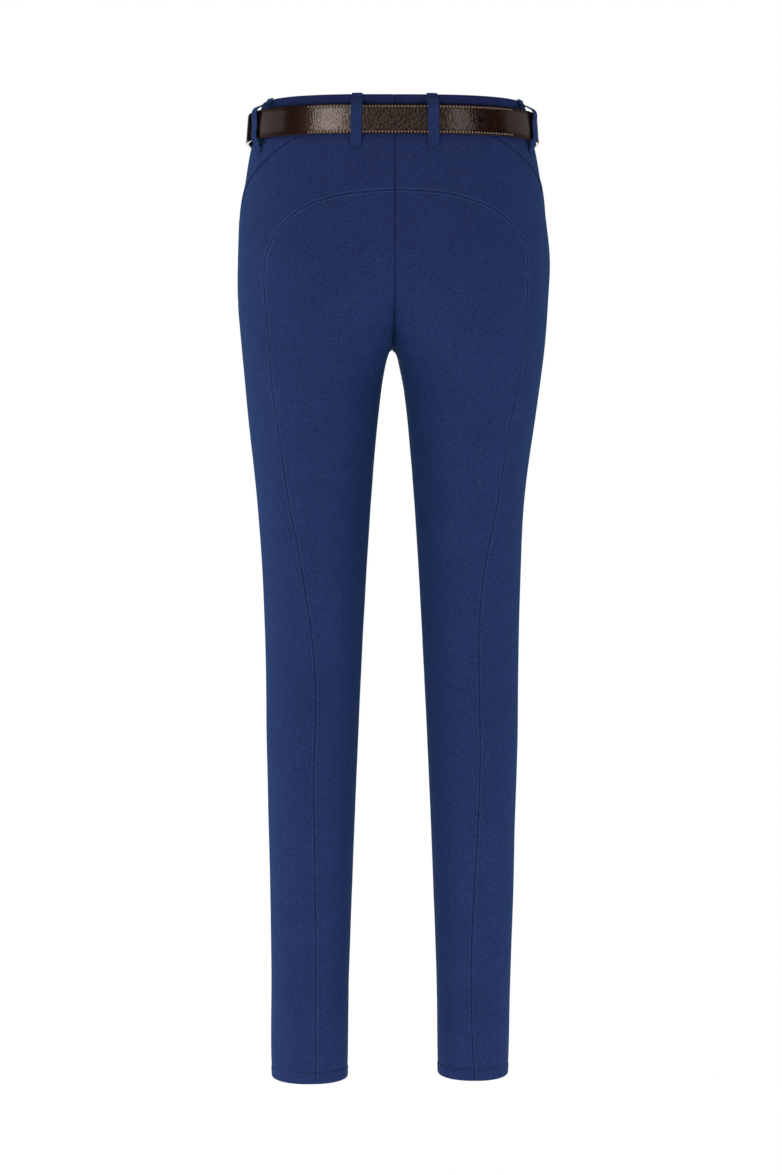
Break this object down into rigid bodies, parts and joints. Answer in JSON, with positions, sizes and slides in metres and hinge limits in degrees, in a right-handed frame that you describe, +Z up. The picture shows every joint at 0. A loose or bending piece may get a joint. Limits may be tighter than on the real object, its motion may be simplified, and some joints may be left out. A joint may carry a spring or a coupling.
{
  "type": "riding breeches with a leather belt",
  "caption": "Navy cotton twill full-seat riding breeches, filled out and hollow as worn, with topstitched seat seams, belt loops and a brown leather belt.",
  "frame": {"origin": "middle of the waist, level with the centre line of the belt, where the wearer holds the garment up", "axes": "+Z up the wearer, -Y the way the wearer faces, +X the wearer's left"},
  "size_m": [0.3273, 0.2349, 1.0185],
  "materials": {
    "cloth": "navy cotton and elastane twill, matt with a fine soft nap",
    "leather": "dark brown vegetable-tanned leather with a fine grain, polished on its face",
    "buckle": "satin nickel-plated steel",
    "zip": "navy woven polyester tape"
  },
  "bodies": {
    "root": {"front_left": "cloth", "front_right": "cloth", "back_left": "cloth", "back_right": "cloth", "seat_left": "cloth", "seat_right": "cloth", "waistband_left": "cloth", "waistband_right": "cloth", "fly_flap": "cloth", "zip_tape": "zip", "loop_back_left": "cloth", "loop_back_right": "cloth", "loop_side_left": "cloth", "loop_side_right": "cloth", "loop_front_left": "cloth", "loop_front_right": "cloth", "belt_strap": "leather", "belt_keeper": "leather", "buckle_frame": "buckle", "buckle_prong": "buckle"}
  },
  "joints": []
}
